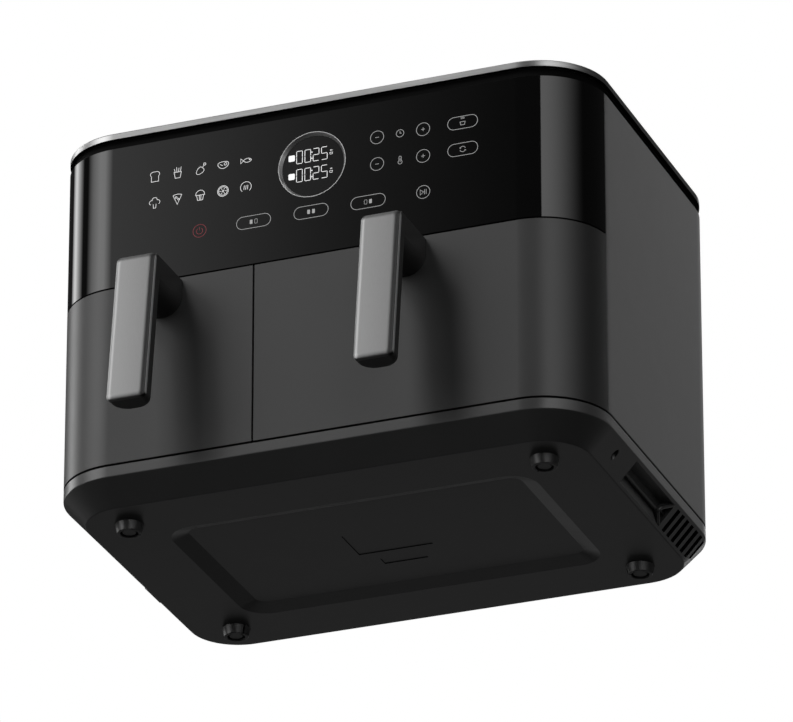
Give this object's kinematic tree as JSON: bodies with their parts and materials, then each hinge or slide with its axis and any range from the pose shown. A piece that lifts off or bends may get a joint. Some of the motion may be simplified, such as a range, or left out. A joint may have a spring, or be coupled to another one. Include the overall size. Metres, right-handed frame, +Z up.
{
  "type": "air fryer",
  "caption": "Countertop air fryer: wide rounded casing with a round display on a gloss touch panel, over unequal side-by-side basket drawers with bar handles.",
  "frame": {"origin": "middle of the overall footprint, on the table under the feet", "axes": "+X to the right of someone facing the front, +Y towards the back, +Z up"},
  "size_m": [0.4, 0.3523, 0.288],
  "materials": {
    "shell_grey": "fine texture",
    "drawer_grey": "fine texture",
    "base_grey": "fine texture",
    "panel_black": "gloss",
    "lens_black": "gloss",
    "ring_silver": "satin",
    "rim_silver": "satin",
    "top_dark": "fine texture",
    "inner_dark": "matte",
    "rubber_black": "matte",
    "silicone": "matte",
    "chamber_steel": "satin",
    "drive_steel": "satin",
    "heater_sheath": "satin",
    "guard_wire": "polished",
    "fan_alloy": "satin",
    "fan_plastic": "matte",
    "motor_case": "satin",
    "wool_board": "matte",
    "non_stick": "satin",
    "circuit_green": "satin",
    "module_white": "satin",
    "switch_black": "matte",
    "magnet_grey": "matte",
    "handle_metal": "satin",
    "handle_dark": "fine texture"
  },
  "bodies": {
    "casing": {"side_rear_shell": "shell_grey", "base_tray": "base_grey", "front_fascia": "panel_black", "display_lens": "lens_black", "display_bezel": "ring_silver", "lid_rim": "rim_silver", "top_cover": "top_dark", "upper_frame": "inner_dark", "front_frame": "inner_dark", "rear_grille": "inner_dark", "foot_front_left": "rubber_black", "foot_front_right": "rubber_black", "foot_rear_left": "rubber_black", "foot_rear_right": "rubber_black", "cord_gland": "rubber_black", "left_liner": "chamber_steel", "right_liner": "chamber_steel", "left_runners": "chamber_steel", "right_runners": "chamber_steel", "motor_brackets": "drive_steel", "temperature_sensors": "drive_steel", "base_screws": "drive_steel", "left_heater": "heater_sheath", "right_heater": "heater_sheath", "left_heater_guard": "guard_wire", "right_heater_guard": "guard_wire", "left_motor": "motor_case", "right_motor": "motor_case", "divider": "wool_board", "control_board": "circuit_green", "power_board": "circuit_green", "display_module": "module_white", "drawer_switches": "switch_black"},
    "left_drawer": {"left_drawer_front": "drawer_grey", "left_drawer_cover": "inner_dark", "left_basket": "non_stick", "left_magnet": "magnet_grey", "left_handle_grip": "handle_dark", "left_handle_plate": "handle_metal", "left_handle_screws": "drive_steel"},
    "left_plate": {"left_crisper_plate": "non_stick", "left_plate_bumpers": "silicone"},
    "left_rotor": {"left_shaft": "drive_steel", "left_hot_fan": "fan_alloy", "left_fan_nut": "drive_steel", "left_cooling_fan": "fan_plastic"},
    "right_drawer": {"right_drawer_front": "drawer_grey", "right_drawer_cover": "inner_dark", "right_basket": "non_stick", "right_magnet": "magnet_grey", "right_handle_grip": "handle_dark", "right_handle_plate": "handle_metal", "right_handle_screws": "drive_steel"},
    "right_plate": {"right_crisper_plate": "non_stick", "right_plate_bumpers": "silicone"},
    "right_rotor": {"right_shaft": "drive_steel", "right_hot_fan": "fan_alloy", "right_fan_nut": "drive_steel", "right_cooling_fan": "fan_plastic"}
  },
  "joints": [
    {"name": "left_drawer_slide", "type": "slide", "parent": "casing", "child": "left_drawer", "axis": [0, -1, 0], "range_m": [0, 0.2]},
    {"name": "right_drawer_slide", "type": "slide", "parent": "casing", "child": "right_drawer", "axis": [0, -1, 0], "range_m": [0, 0.2]},
    {"name": "left_plate_lift", "type": "slide", "parent": "left_drawer", "child": "left_plate", "axis": [0, 0, 1], "range_m": [0, 0.1]},
    {"name": "right_plate_lift", "type": "slide", "parent": "right_drawer", "child": "right_plate", "axis": [0, 0, 1], "range_m": [0, 0.1]},
    {"name": "left_fan_spin", "type": "hinge", "parent": "casing", "child": "left_rotor", "pos_m": [-0.1179, 0.03745, 0.2], "axis": [0, 0, 1], "continuous": true},
    {"name": "right_fan_spin", "type": "hinge", "parent": "casing", "child": "right_rotor", "pos_m": [0.0751, 0.03745, 0.2], "axis": [0, 0, 1], "continuous": true}
  ]
}
